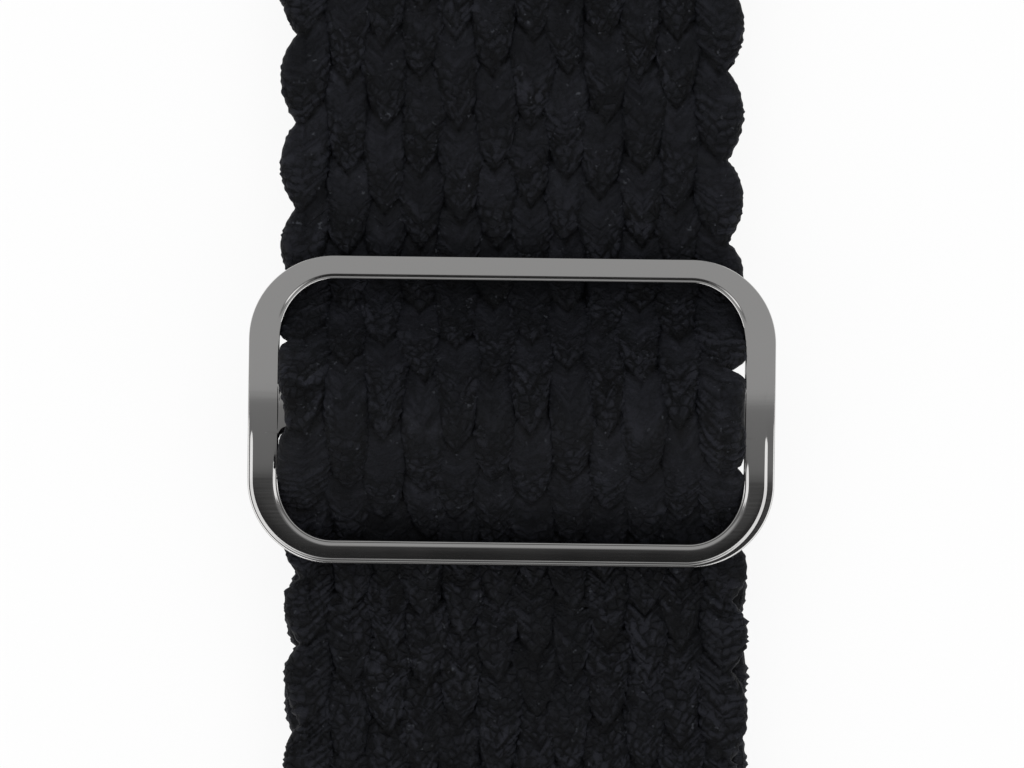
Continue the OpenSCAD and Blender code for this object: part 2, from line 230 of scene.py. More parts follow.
HUMP_Z, HUMP_L = BAR_TOP + LOOP_T + HUMP_GAP + BRAID_T / 2, END_BAR_Y - 0.4
RISE_Y0, RISE_Y1 = -(END_BAR_Y - 2.1), -(BAR_W / 2 + 0.2)
TAIL_Y0, TAIL_Y1, TAIL_END = -(BAR_W / 2 + 1), -(BAR_W / 2 - 0.3), RISE_Y0 + 1
PART_Y, UPPER_PART_Y, SEAM_Y, FOLD_END = 7.9, 48.0, 56.1, 49.1
print("middle of the buckle at", round(BUCKLE_Z, 3), "mm, top of the hump at", round(HUMP_Z + BRAID_T / 2, 3))


# %% Draw the path
def ease(u):
    """0 below 0, 1 above 1, and 3u^2 - 2u^3 between."""
    u = np.clip(u, 0, 1)
    return u * u * (3 - 2 * u)


def rise(y):
    """How far the return run has risen from the table to the centre bar, from 0 to 1."""
    return ease((y - RISE_Y0) / (RISE_Y1 - RISE_Y0))


def tail_low(y):
    """Underside of the sewn tail: it lies on the return run and rises over the centre bar."""
    rest = BRAID_T + (BAR_LOW - BRAID_T) * rise(y) + SEWN_GAP
    return rest + (BAR_TOP - rest) * ease((y - TAIL_Y0) / (TAIL_Y1 - TAIL_Y0))


def turn(cy, cz, radius, start, end):
    """Points of a circle's arc from one angle to another."""
    a = np.radians(np.linspace(start, end, 60))
    return cy + radius * np.cos(a), cz + radius * np.sin(a)


def strap_path():
    """The braid's middle line as y, z and half thickness, one stretch after another, and the names of
    the stretches. Over the bars the height is a cosine between the layer and the hump."""
    half = BRAID_T / 2
    stretches = []

    def flare(y):
        opening = ease((y - SEAM_Y) / (PIN_Y - SEAM_Y))
        return SEWN_GAP / 2 + (PIN_Z - BRAID_T - SEWN_GAP / 2) * opening

    def add(name, y, z, thick=None):
        stretches.append((name, y, z, np.full(len(y), half) if thick is None else thick))

    y = np.linspace(FOLD_END, PIN_Y, 160)
    add("upper_fold", y, PIN_Z - flare(y) - half)
    add("upper_fold", *turn(PIN_Y, PIN_Z, TURN_R, -90, 90))
    y = np.linspace(PIN_Y, UPPER_PART_Y, 160)
    add("upper_fold", y, PIN_Z + flare(y) + half)
    y = np.linspace(UPPER_PART_Y, PART_Y, 60)
    add("upper_run", y, np.interp(y, [PART_Y, UPPER_PART_Y], [LAYER_Z, PIN_Z + half + SEWN_GAP / 2]))
    y = np.linspace(PART_Y, -PART_Y, 400)
    share = np.minimum(1, np.abs(y) / HUMP_L)
    slope = np.where(share < 1, (HUMP_Z - LAYER_Z) / 2 * np.pi / HUMP_L * np.sin(np.pi * share), 0)
    add("buckle_run", y, LAYER_Z + (HUMP_Z - LAYER_Z) * (1 + np.cos(np.pi * share)) / 2,
        half / np.sqrt(1 + slope ** 2))
    y = np.linspace(-PART_Y, -PIN_Y, 60)
    add("lower_run", y, np.interp(y, [-PIN_Y, -PART_Y], [PIN_Z + TURN_R, LAYER_Z]))
    add("lower_turn", *turn(-PIN_Y, PIN_Z, TURN_R, 90, 270))
    y = np.linspace(-PIN_Y, -PART_Y, 60)
    add("return_run", y, np.full(60, half))
    nose = (BAR_W - BAR_T) / 2
    y = np.linspace(-PART_Y, nose, 200)
    low, top = (BAR_LOW - LOOP_T) * rise(y), BRAID_T + (BAR_LOW - BRAID_T) * rise(y)
    steep = np.hypot(1, np.gradient((low + top) / 2, y))
    add("bar_loop", y, (low + top) / 2, (top - low) / 2 / steep)
    y, z = turn(nose, BUCKLE_Z, BAR_T / 2 + WRAP_GAP + LOOP_T / 2, -90, 90)
    add("bar_loop", y, z, np.full(len(y), LOOP_T / 2))
    y = np.linspace(nose, TAIL_END, 120)
    add("bar_loop", y, tail_low(y) + LOOP_T / 2, np.full(len(y), LOOP_T / 2))
    return stretches


stretches = strap_path()
names = [name for name, y, z, t in stretches for _ in y]
path_y, path_z, path_half = (np.concatenate([s[k] for s in stretches]) for k in (1, 2, 3))
step = np.hypot(np.diff(path_y, prepend=path_y[0]), np.diff(path_z, prepend=path_z[0]))
keep = np.r_[True, step[1:] > 1e-6]
names = [name for name, kept in zip(names, keep) if kept]
path_y, path_z, path_half, path_s = path_y[keep], path_z[keep], path_half[keep], np.cumsum(step[keep])
direction = np.stack([np.gradient(path_y, path_s), np.gradient(path_z, path_s)], -1)
direction /= np.linalg.norm(direction, axis=1, keepdims=True)
part_from = {name: path_s[names.index(name)] for name in names}
print("length of the braid:", round(path_s[-1], 1), "mm; stretches start at",
      {name: round(float(s), 1) for name, s in part_from.items()})

# %% [markdown]
# ## The weave
# The real braid shows rows of leaf-shaped lobes, two wide ones along the edges and ten narrower ones
# between, set like bricks: each lobe starts beside the middle of its neighbours. Every lobe is a bundle
# of yarn that comes up round at its top and dives to a point at its bottom, and its yarns lie in a V.
# It could be a picture on a flat band, but then the outline and the light between the lobes would be
# wrong. So each column is a closed cord whose width and thickness swell and shrink from lobe to lobe,
# and whose points are slid along the cord in a V, so that every fourth ring of points is one yarn.

# %% Sizes of the weave, measured from the photograph, in millimetres
LOBE_L = 3.85  # from one lobe to the next
YARN_W = 0.39  # from one yarn to the next along a lobe
ROWS_PER_YARN = 4
YARN_H = 0.14  # how far a yarn stands up
GRAINS = 6  # grains of a yarn across the outer side of a lobe
V_SLOPE = 0.8  # how steeply the yarns climb away from the middle of a lobe
POINT_SLOPE = 1.25  # how steeply the two sides of a lobe's point climb
EDGE_SLOPE = 0.15  # both slopes in the outer half of an edge lobe
LEAN = 0.0285  # the rows of lobes climb this much for each millimetre to the right
EDGE_ARC_R = 3.0  # radius of an edge lobe's outline
WINDOW_REACH = 10.03  # half width of the braid in the buckle's window, where it presses on the rails
COLUMN_X = np.r_[-8.93, (np.arange(10) - 4.5) * 1.585, 8.93]
LAST = len(COLUMN_X) - 1
# On an inner and on an edge column: how far the yarns stray, in yarns, how deeply the grains cut them,
# and how much of them shows at a lobe's top, with what comes to that at its point
STRAY, GRAIN_CUT, YARN_SHOWN = (1.0, 0.5), (0.9, 0.35), ((0.25, 0.75), (0.3, 0.6))
# Places of the notches along the right edge; the lobes are drawn out where the braid is pulled tight
NOTCH_Y = np.array([48, 14.81, 10.97, 7.39, 4.6, 1.875, -2.39, -5.4, -8.15, -11.14, -15.0])
NOTCH_N = np.array([-33.19 / 3.85, 0, 1, 2, 3, 4, 5, 6, 7, 8, 9])
# Deeper notches in the window, on its left and its right side: how much deeper, and at which y
WINDOW_NOTCHES = {-1: [(0.3, 3.2)], 1: [(0.95, 1.9), (0.25, -2.4)]}
SLACK_AT_BAR = {-1: 0.3, 1: 0.1}   # how far the edge stands back from the rail beside the centre bar
top_run = (path_s >= part_from["upper_run"]) & (path_s <= part_from["lower_turn"])
notch_s = np.interp(-NOTCH_Y, -path_y[top_run], path_s[top_run])
notch_s = np.r_[notch_s[0] - 100 * LOBE_L, notch_s, notch_s[-1] + 100 * LOBE_L]
notch_n = np.r_[NOTCH_N[0] - 100, NOTCH_N, NOTCH_N[-1] + 100]
# Inside the buckle's window the braid's edges press outwards until they nearly touch the rails
over_bar = (path_s > part_from["buckle_run"]) & (path_s < part_from["lower_run"])
under_bar = path_s > part_from["bar_loop"]
window = np.where(over_bar | under_bar, ease(5.7 - np.abs(path_y)), 0)
# The sewn loop is drawn in where it goes round the centre bar
drawn_in = np.where(under_bar, 0.075 * ease((path_y + 2.8) / 1.2), 0)
print("one lobe holds", round(LOBE_L / YARN_W, 1), "yarns")


# %% Curves of a lobe
def leaf(p):
    """Share of a lobe's swelling at p, from 0 at its top to 1 at its point: the sine of pi times p to
    the power 0.65, which rises fast, is full at a third and then tapers."""
    return np.sin(np.pi * np.clip(p, 0, 1) ** 0.65)


def scale_height(p):
    """How far a lobe stands up at p: it comes up from under the lobe before it, is highest near its
    point and ends in a step, as a fish scale does."""
    return (0.35 + 0.65 * ease(p / 0.7)) * (0.2 + 0.8 * ease((1 - p) / 0.07))


def sideways(y):
    """How far the braid bows to the side along its length, as it does in the photograph."""
    return -0.26 * (y / 16) * np.exp(-(y / 24) ** 2) + 0.18 * np.exp(-((y + 14) / 16) ** 2)


def drift(place, table):
    """A smooth random curve: the table's values at whole places are joined by ease, and it repeats."""
    low = np.floor(place).astype(int)
    share = ease(place - low)
    return table[np.mod(low, len(table))] * (1 - share) + table[np.mod(low + 1, len(table))] * share


def patches_of(u, v, table):
    """A smooth random surface: the table's values at whole u and v are joined by ease, and it repeats."""
    low_u, low_v = np.floor(u).astype(int), np.floor(v).astype(int)
    share_u, share_v = ease(u - low_u), ease(v - low_v)
    pick = lambda i, j: table[np.mod(low_u + i, table.shape[0]), np.mod(low_v + j, table.shape[1])]
    near = pick(0, 0) * (1 - share_u) + pick(1, 0) * share_u
    far = pick(0, 1) * (1 - share_u) + pick(1, 1) * share_u
    return near * (1 - share_v) + far * share_v


print("a lobe is widest at", round(float(np.argmax(leaf(np.arange(0, 1, 0.01)))) / 100, 2), "of its length")


# %% Grid of one column
def on_strap(s, x, z):
    """Points at s along the path, x to the right of the braid's middle line and z towards the strap's
    outer side, which is (tz z, -ty z) for a path that runs in direction (ty, tz)."""
    tables = path_y, path_z, direction[:, 0], direction[:, 1], drawn_in
    along_y, along_z, ty, tz, tight = (np.interp(s, path_s, table) for table in tables)
    return np.stack([x * (1 - tight) + sideways(along_y), along_y + tz * z, along_z - ty * z], -1)


def edge_reach(side, p, along, pressed):
    """How far the outer half of an edge lobe reaches from its column's middle. Where nothing presses on
    it the outline is an arc between two notches. Pressed against the rail, it is straight and the
    notches are narrow."""
    middle = abs(COLUMN_X[0])
    arc = LOBE_L / 2 * np.abs(2 * p - 1)
    notch = (EDGE_ARC_R - np.sqrt(np.maximum(EDGE_ARC_R ** 2 - arc ** 2, 0.1))) * (1 - pressed)
    deep = sum((more * np.exp(-(along - y) ** 2) for more, y in WINDOW_NOTCHES[side]), 0.2)
    slack = SLACK_AT_BAR[side] * np.exp(-(along + 0.1) ** 2)
    notch = notch + (deep * np.exp(-((LOBE_L / 2 - arc) / 0.3) ** 2) + slack) * pressed
    reach = (BRAID_W / 2 - middle) * (1 - pressed) - notch
    return reach + (WINDOW_REACH - middle - side * sideways(along)) * pressed


def yarn_relief(s, a, at, x, p, edge, grain, wobble):
    """How far the yarns stand up, from 0 to 1: (1 - cos(2 pi phase)) / 2. The yarns of the left half
    come up between those of the right half, so the phase differs by one half, and each yarn has its own
    height. Along a yarn the height goes up and down in the same way GRAINS times, where other yarns
    cross under it. Also gives how much of the yarns shows, their tone, number and phase."""
    right = x > 0
    grain_at = GRAINS * a / np.pi
    phase = s / YARN_W + 0.5 * right + STRAY[edge] * patches_of(s / 0.55, grain_at * 0.55, wobble[0])
    grain_at = grain_at + 0.6 * patches_of(s / 0.7, grain_at * 0.4, wobble[1])
    number = np.mod(np.floor(phase).astype(int), 900)
    own = grain[right.astype(int), number]
    # Above the buckle the yarns show most near the point of a lobe, and below it all along
    slack = ease((-2 - np.interp(at, path_s, path_y)) / 6)
    least, more = YARN_SHOWN[edge]
    shown = least + more * ease((p - 0.35) / 0.35)
    shown = shown + (0.95 - shown) * slack
    strand = grain_at + 0.5 * number + 0.6 * own
    grains = 0.5 - 0.5 * np.cos(2 * np.pi * strand)
    single = grain[0][np.mod(number * 7 + np.floor(strand).astype(int) * 13, 900)]
    full = (1 - np.cos(2 * np.pi * phase)) / 2 * (1 - GRAIN_CUT[edge] + GRAIN_CUT[edge] * grains)
    full = full * (0.45 + 0.3 * own + 0.9 * single)
    # The yarns are soft: their own loops and hollows, about 0.3 mm across, cross the ridges
    loops = np.clip(0.5 + 0.4 * patches_of(s / 0.3, grain_at * 1.1, wobble[2]), 0, 1)
    full = full * (0.5 + 0.8 * loops) + 0.2 * loops
    return full, shown, 0.35 * single + 0.25 * loops, number, phase


def cord_grid(column, s0, s1, front, back):
    """Grid of points of one column between two lengths of the path. The angle a runs round the section
    and s along the path. Width and thickness depend on p, the place within the lobe:
    x = width(p) * cos(a) and height = thickness(p) * sin(a), the corners filled out a little.
    Each point is then slid back along the path by V_SLOPE * |x|, which makes the V, and pushed out by
    YARN_H times the relief of the yarns. The outer side of the strap gets front points and the inner
    side back points. Also gives the two attributes of the points that the material reads."""
    count = max(2, int(round((s1 - s0) / (YARN_W / ROWS_PER_YARN))) + 1)
    s = np.linspace(s0, s1, count)[:, None]
    a = np.r_[np.linspace(0, np.pi, front, endpoint=False),
              np.linspace(np.pi, 2 * np.pi, back, endpoint=False)][None, :]
    cos, sin = np.cos(a), np.sin(a)
    edge, middle = column in (0, LAST), COLUMN_X[column]
    side = np.sign(middle)
    outside = side * cos > 0 if edge else np.zeros_like(cos, bool)
    rng = np.random.default_rng(100 + column)
    jitter = rng.normal(size=(400, 4))
    grain = rng.random((2, 900))
    bends, slopes, shifts = rng.normal(size=(4, 300))[:3]
    wobble = rng.normal(size=(3, 1200, 24))
    x = 0.9 * cos * np.ones_like(s)
    bend = (0.04 if column in (1, LAST - 1) else 0.10) * drift(s / 1.9, bends)
    steep = V_SLOPE * (1 + 0.18 * drift(s / 1.3, slopes))
    # The place in the lobe follows from the width, and the width from the place: three rounds settle it
    for _ in range(3):
        at = s - np.where(outside, EDGE_SLOPE, steep) * np.abs(x)
        lean = LEAN * (middle + x - BRAID_W / 2)
        forward = np.where(outside, EDGE_SLOPE, POINT_SLOPE) * np.abs(x)
        n = np.interp(at + lean + forward - (0 if edge else 0.35), notch_s, notch_n)
        n = n + (0.5 if (LAST - column) % 2 else 0)
        n = n + (0 if edge else 0.09) * drift(n, shifts)
        p = n - np.floor(n)
        lobe = np.mod(np.floor(n).astype(int), 400)
        swell = leaf(p)
        wide = (0.76 + 0.38 * swell) * (1 + 0.07 * jitter[lobe, 0] * swell)
        if edge:
            outer = edge_reach(side, p, np.interp(at, path_s, path_y), np.interp(at, path_s, window))
            wide = np.where(outside, outer, 0.94 + 0.24 * swell)
        x = wide * np.sign(cos) * np.abs(cos) ** 0.9
    half = np.interp(at, path_s, path_half)
    thick = half * (0.50 + 0.46 * scale_height(p)) * (1 + 0.06 * jitter[lobe, 1] * swell)
    if edge:
        thick = np.where(outside, half * (0.62 + 0.30 * swell ** 0.6), thick)
    z = thick * np.sign(sin) * np.abs(sin) ** 0.85
    full, shown, tone, number, phase = yarn_relief(s, a, at, x, p, edge, grain, wobble)
    ridge = YARN_H * full * (0.25 + 0.75 * shown) * np.minimum(1, half / 0.6)
    ridge = ridge * (1 - 0.8 * np.exp(-(x / 0.16) ** 2) * (0 if edge else 1))
    fuzz = 0.014 * rng.normal(size=x.shape)
    z = z + (ridge + fuzz - 0.05 * np.exp(-(x / 0.12) ** 2)) * np.sign(sin) * np.abs(sin) ** 0.5
    # The braid stays in its own thickness: z is brought below the limit by z / (1 + (z / limit)^8)^(1/8)
    z = z / (1 + (z / (half + 0.03)) ** 8) ** 0.125
    x = x + 0.7 * ridge * cos * np.abs(cos) ** 2
    centre = middle + (0.07 * jitter[lobe, 2] * swell + bend) * (0 if edge else 1)
    # Painted shade: the colour is darkened where a point lies low in its cord, most of all in the crease
    # where one lobe meets the next, while the outer sides of the edge lobes stay light
    height_for_painted_shade = np.clip((np.abs(z) / half - 0.24) / 0.36, 0, 1)
    crease_painted_shade = np.exp(-(LOBE_L * np.minimum(p, 1 - p) / 0.16) ** 2)
    height_for_painted_shade = height_for_painted_shade * (1 - 0.85 * crease_painted_shade)
    height_for_painted_shade = np.where(outside, np.maximum(height_for_painted_shade, 0.85 * np.abs(cos)), height_for_painted_shade)
    tone = tone + 0.4 * np.clip(0.5 + 0.25 * jitter[lobe, 3], 0, 1)
    # Of these values the first sets the painted shade, the second the painted ridge light, and the third is
    # the yarn's own random tone
    place = np.stack([height_for_painted_shade, full * shown + 0.45 * (1 - shown), tone], -1)
    fibre = np.stack([1.35 * np.abs(x) + 0.37 * number, phase, shown], -1)
    return on_strap(at, centre + x, z), place, fibre


def core_grid(s0, s1):
    """Grid of points of the flat elastic core that the cords are braided round, 0.3 mm thick."""
    s = np.linspace(s0, s1, max(2, int((s1 - s0) / 0.4)))[:, None]
    return on_strap(s, np.array([[-8.9, -4, 4, 8.9, 8.9, 4, -4, -8.9]]), np.repeat([[0.15, -0.15]], 4, 1))


print("an edge lobe reaches", round(float(edge_reach(1, 0.5, 20.0, 0.0)), 2), "mm from its column's middle")


# %% Build the stretches of braid
FRONT_POINTS, CUT_L = 24, 24.0   # a stretch longer than CUT_L is three pieces side by side


def braid_piece(name, s0, s1, columns, back):
    """One mesh that holds some of the columns of one stretch of braid, each a closed tube."""
    grids = [cord_grid(column, s0, s1, FRONT_POINTS, back) for column in columns]
    if columns[0] == 0:
        core = core_grid(s0, s1)
        grids.append((core, 0 * core, 0 * core))
    points, quads, fans = joined([closed_tube(grid) for grid, place, fibre in grids])
    places, fibres = (np.concatenate([tube_points(grid[k]) for grid in grids]) for k in (1, 2))
    print(name, "has", 2 * len(quads) + len(fans), "triangles")
    return make_piece(name, points, quads, fans, {"yarn": places, "fibre": fibres})


ends = [*part_from.values(), path_s[-1] - 0.02]
# The points slide back by up to this much, so the first ring of all starts further along
ends[0] += 1.0
braid = []
for name, s0, s1 in zip(part_from, ends[:-1], ends[1:]):
    shares = [("", range(12))]
    if s1 - s0 > CUT_L:
        shares = [("_left", range(4)), ("_middle", range(4, 8)), ("_right", range(8, 12))]
    # The inner side of the upper run is the only one in plain sight, so it gets more points
    back = 12 if name == "upper_run" else 6
    for side, columns in shares:
        braid.append((name, braid_piece("braid_" + name + side, s0, s1, columns, back)))

# %% [markdown]
# ## Finish of the braid
# The yarn is black polyester, spun from many fine fibres. Up close it isn't plain black. Its colour is a
# dark blue grey, painted lighter on the tops of the yarns and painted nearly black in the gaps between
# them and between the lobes, which is painted shade. Small pale specks stand for loose fibres and for
# painted glints where they catch the light. The mesh carries an attribute that says where a point is on
# its yarn, so the fibre pattern follows the V of the yarns instead of lying across them.

# %% Material of the braid
def black_polyester_yarn():
    """Dark base colour that differs from yarn to yarn, with painted shade in the gaps, painted light on
    the yarn tops, and pale specks for loose fibres and painted glints. A
    fibre is about 0.02 mm thick, too fine to show, so the fibre pattern is drawn 0.1 mm apart."""
    material, tree, shader = new_material("black_polyester_yarn")
    place = add_node(tree, "Attribute", {"attribute_name": "yarn"})
    split = add_node(tree, "SeparateXYZ", links={"Vector": place.outputs["Vector"]})
    along = add_node(tree, "Attribute", {"attribute_name": "fibre"})
    lie_parts = add_node(tree, "SeparateXYZ", links={"Vector": along.outputs["Vector"]})
    lie = add_node(tree, "Mapping", values={"Scale": (2.5, 9.0, 0.0)},
                   links={"Vector": along.outputs["Vector"]})
    spot = add_node(tree, "TexCoord").outputs["Object"]
    noises = {"fine": (9000.0, 3.0, spot), "plies": (1.0, 2.0, lie), "patches": (300.0, 2.0, spot),
              "dots": (5200.0, 1.0, spot), "rare": (1300.0, 1.0, spot)}
    noise = {name: add_node(tree, "TexNoise", values={"Scale": scale, "Detail": detail},
                            links={"Vector": vector})
             for name, (scale, detail, vector) in noises.items()}
    levels = {"patches": (0.3, 0.9), "dots": (0.64, 0.74), "rare": (0.56, 0.68)}
    level = {name: add_node(tree, "MapRange", values={"From Min": low, "From Max": high},
                            links={"Value": noise[name]})
             for name, (low, high) in levels.items()}
    # Painted light: the colour is lighter where the yarns stand up and darker in the hollows between them,
    # added to the yarn's own random tone
    painted_ridge_light = add_node(tree, "Math", {"operation": "MULTIPLY"}, {1: 0.6}, {0: split.outputs["Y"]})
    tone_and_ridge_light = add_node(tree, "Math", {"operation": "MULTIPLY_ADD"}, {1: 0.35},
                     {0: split.outputs["Z"], 2: painted_ridge_light})
    mixed = add_node(tree, "Math", {"operation": "ADD"}, links={0: noise["fine"], 1: noise["plies"]})
    mottle_and_ridge_light = add_node(tree, "Math", {"operation": "MULTIPLY_ADD"}, {1: 0.3}, {0: mixed, 2: tone_and_ridge_light})
    # Loops of yarn 0.4 mm across, with painted shade in the gap round each where the yarns show; the same
    # value gives their bump
    loops = add_node(tree, "TexVoronoi", {"feature": "DISTANCE_TO_EDGE"}, {"Scale": 2500.0},
                     {"Vector": spot})
    loop_gap_shade_and_bump = add_node(tree, "MapRange", {"interpolation_type": "SMOOTHSTEP"},
                      {"From Min": 0.0, "From Max": 0.2, "To Min": -0.26, "To Max": 0.05},
                      {"Value": loops.outputs["Distance"]})
    shown = add_node(tree, "Math", {"operation": "MULTIPLY"}, links={0: loop_gap_shade_and_bump, 1: lie_parts.outputs["Z"]})
    rounded = add_node(tree, "Math", {"operation": "ADD"}, links={0: mottle_and_ridge_light, 1: shown})
    shade = add_node(tree, "ValToRGB", links={"Fac": rounded})
    shades = ((0.25, "#030304"), (0.55, "#0c0d10"), (0.95, "#202127"))
    set_ramp(shade, [(at, hex_colour(colour)) for at, colour in shades])
    tint = add_node(tree, "Mix", {"data_type": "RGBA"}, {7: hex_colour("#0b0c0f")},
                    {0: level["patches"], 6: shade})
    # Painted shade: the colour is multiplied by 0.25 in the deepest gaps and creases, rising to 1 on the tops
    painted_gap_shade = add_node(tree, "MapRange", values={"To Min": 0.25, "To Max": 1.0},
                    links={"Value": split.outputs["X"]})
    shaded_in_gaps = add_node(tree, "VectorMath", {"operation": "SCALE"}, links={0: tint.outputs[2], "Scale": painted_gap_shade})
    # Pale specks: partly pale loose fibre ends, partly painted glints of light on the yarn
    fibre_and_glint_specks = add_node(tree, "Math", {"operation": "MULTIPLY"}, links={0: level["dots"], 1: level["rare"]})
    with_specks_and_glints = add_node(tree, "Mix", {"data_type": "RGBA"}, {7: hex_colour("#35373c")},
                       {0: fibre_and_glint_specks, 6: shaded_in_gaps})
    tree.links.new(with_specks_and_glints.outputs[2], shader.inputs["Base Color"])
    shader.inputs["Roughness"].default_value = 0.68
    shader.inputs["Specular IOR Level"].default_value = 0.12
    shader.inputs["Sheen Weight"].default_value = 0.04
    shader.inputs["Sheen Roughness"].default_value = 0.4
    shader.inputs["Sheen Tint"].default_value = hex_colour("#7c8090")
    bump = add_node(tree, "Bump", values={"Strength": 0.8, "Distance": 0.00005},
                    links={"Height": mixed})
    grain = add_node(tree, "Bump", values={"Strength": 0.6, "Distance": 0.0002},
                     links={"Height": shown, "Normal": bump})
    tree.links.new(grain.outputs["Normal"], shader.inputs["Normal"])
    return material


yarn = black_polyester_yarn()
for stretch, piece in braid:
    piece.data.materials.append(yarn)
print("pieces of braid:", len(braid))

# %% [markdown]
# ## What each stretch of braid moves with
# When the buckle is slid along, the real braid creeps through it. A mesh can't creep through. Here the
# stretches between the buckle and the two ends are tied to no body, and their place is baked into their
# points; the other stretches move with the buckle or with their own end.

# %% Tie the braid to the bodies
far_body = {"upper_run": ("upper_fold", UPPER_PART_Y), "lower_run": ("lower_turn", -PIN_Y),
            "return_run": ("lower_turn", -PIN_Y)}
own_body = {"upper_fold": "upper_fold", "lower_turn": "lower_turn"}
for stretch, piece in braid:
    if stretch in far_body:
        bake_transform(piece)
    else:
        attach(piece, own_body.get(stretch, "buckle"))
    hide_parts("strap_" + stretch)
print("stretches that lengthen and shorten:", sorted(far_body))

# %% [markdown]
# ## The buckle
# The buckle is one piece of polished steel: a ring with round corners, bent to a gentle arch, with a
# centre bar. Its section is a flat bar with rounded edges. A section carried along a closed line gives
# the ring, and a second, straight one gives the bar, wider where it runs into the rails.

# %% Ring of the buckle
BEVEL_W, BEVEL_DROP, LEDGE_W, CROWN = 0.12, 0.029, 0.04, 0.0015
FLAT = RIM_W / 2 - RIM_EDGE_R - BEVEL_W - LEDGE_W   # half the width of the rim's flat face
RIGHT_LEDGE = 0.2  # how much wider the ledge along the right rail is
BOTTOM_LEAN = 0.006  # the bottom bar's flat leans outwards by this slope
# The rails look wider than the end bars: what each half of the rim has more or less than RIM_W / 2
BAR_OUT, BAR_IN, RAIL_OUT, RAIL_IN = -0.07, -0.1, -0.02, 0.15


def bevelled_section():
    """Points of the rim's section, anticlockwise. Its corners are quarter circles. Each of its two
    faces is crowned by a parabola CROWN high, falls by BEVEL_DROP over a bevel, BEVEL_W wide, and ends
    in a ledge, LEDGE_W wide."""
    width, height, radius = RIM_W, RIM_T, RIM_EDGE_R
    a = np.radians(np.linspace(0, 90, 6))
    corner = np.stack([width / 2 - radius + radius * np.cos(a), height / 2 - radius + radius * np.sin(a)], -1)
    x = np.r_[FLAT + BEVEL_W + LEDGE_W * np.array([0.75, 0.5, 0.25]),
              FLAT + BEVEL_W * np.array([0.94, 0.6, 0.3, 0.06]), FLAT - 0.015, np.linspace(FLAT - 0.06, 0, 6)]
    top = np.stack([x, np.full_like(x, height / 2)], -1)
    quarter = np.concatenate([corner, top])
    fall = BEVEL_DROP * np.clip((quarter[:, 0] - FLAT) / BEVEL_W, 0, 1)
    quarter[:, 1] += CROWN * np.maximum(0, 1 - (quarter[:, 0] / FLAT) ** 2) - fall
    side = np.stack([np.full(3, width / 2), np.linspace(0, height / 2 - radius - BEVEL_DROP, 4)[:3]], -1)
    quarter = np.concatenate([side, quarter])
    mirror = quarter[-2::-1] * [-1, 1]
    upper = np.concatenate([quarter, mirror])
    return np.concatenate([upper, (upper[::-1] * [1, -1])[1:-1]])


def ring_line(per_corner=28, per_side=60):
    """The middle of the rim seen from above, anticlockwise: four sides and four quarter circles. Gives
    the points and the direction that points away from the middle of the ring."""
    cx, cy = RAIL_X - CORNER_R, RAIL_HALF
    points, aways = [], []
    for turns, (sx, sy) in enumerate([(1, 1), (-1, 1), (-1, -1), (1, -1)]):
        a = np.radians(np.linspace(0, 90, per_corner) + 90 * turns)
        away = np.stack([np.cos(a), np.sin(a)], -1)
        points.append(away * CORNER_R + [sx * cx, sy * cy])
        aways.append(away)
        side = 2 * cx if turns % 2 == 0 else 2 * cy
        steps = np.linspace(0, 1, per_side)[1:-1, None]
        heading = np.array([-away[-1, 1], away[-1, 0]])
        points.append(points[-1][-1] + heading * side * steps)
        aways.append(np.repeat(away[-1:], len(steps), 0))
    return np.concatenate(points), np.concatenate(aways)


def arch_height(y):
    """Height of the arch below its top: a circle over the rails and its tangent beyond them."""
    inside = ARCH_R - np.sqrt(ARCH_R ** 2 - np.minimum(np.abs(y), RAIL_HALF) ** 2)
    return inside + np.maximum(np.abs(y) - RAIL_HALF, 0) * math.tan(END_TILT)


def buckle_ring():
    """Grid of the ring: each section stands across the line, square to the arch."""
    line, away = ring_line()
    section = bevelled_section()
    tilt = np.arcsin(np.clip(line[:, 1], -RAIL_HALF, RAIL_HALF) / ARCH_R)
    up = np.stack([np.zeros_like(tilt), np.sin(tilt), np.cos(tilt)], -1)
    y = np.where(np.abs(line[:, 1]) > RAIL_HALF,
                 np.sign(line[:, 1]) * (RAIL_HALF + (np.abs(line[:, 1]) - RAIL_HALF) * math.cos(END_TILT)),
                 line[:, 1])
    middle = np.stack([line[:, 0], y, BUCKLE_Z - arch_height(y)], -1)
    side = np.stack([away[:, 0], away[:, 1] * np.cos(tilt), -away[:, 1] * np.sin(tilt)], -1)
    across, high = section[None, :, 0], section[None, :, 1]
    high = high - BOTTOM_LEAN * np.clip(-away[:, 1:], 0, 1) * across
    # Beside the centre bar the bevel fades, so that the bar's root is flush with the rail
    inner = across < 0
    start, stop = np.where(inner, -1.2, -0.1), np.where(inner, 3.4, 1.6)
    fade = ease((start - y[:, None]) / 1.6) + ease((y[:, None] - stop) / 0.6)
    high = high + np.sign(high) * BEVEL_DROP * np.clip((np.abs(across) - FLAT) / BEVEL_W, 0, 1) * (1 - fade)
    # Along the right rail the bevel lies further in, with a wider ledge outside it
    ledge = RIGHT_LEDGE * np.clip(away[:, :1], 0, 1) * ease(1.5 - y[:, None])
    moved = np.clip((FLAT + BEVEL_W + 0.75 * LEDGE_W - across) / (0.3 * LEDGE_W), 0, 1)
    upper = moved * ((high > 0) & (across > 0))
    rail = away[:, :1] ** 2
    more = np.where(across > 0, BAR_OUT + (RAIL_OUT - BAR_OUT) * rail, BAR_IN + (RAIL_IN - BAR_IN) * rail)
    across = across + (np.sign(across) * more - ledge * upper) * np.clip(np.abs(across) / FLAT, 0, 1)
    return middle[:, None] + side[:, None] * across[..., None] + up[:, None] * high[..., None]


grid = buckle_ring()
ring_points = grid.reshape(-1, 3)
ring = ring_points, *outward(ring_points, ring_faces(*grid.shape[:2]))
print("ring of the buckle: sections and points of each", grid.shape[:2])


# %% Centre bar of the buckle
ROOT_R = 0.35  # radius of the fillet where the bar runs into a rail


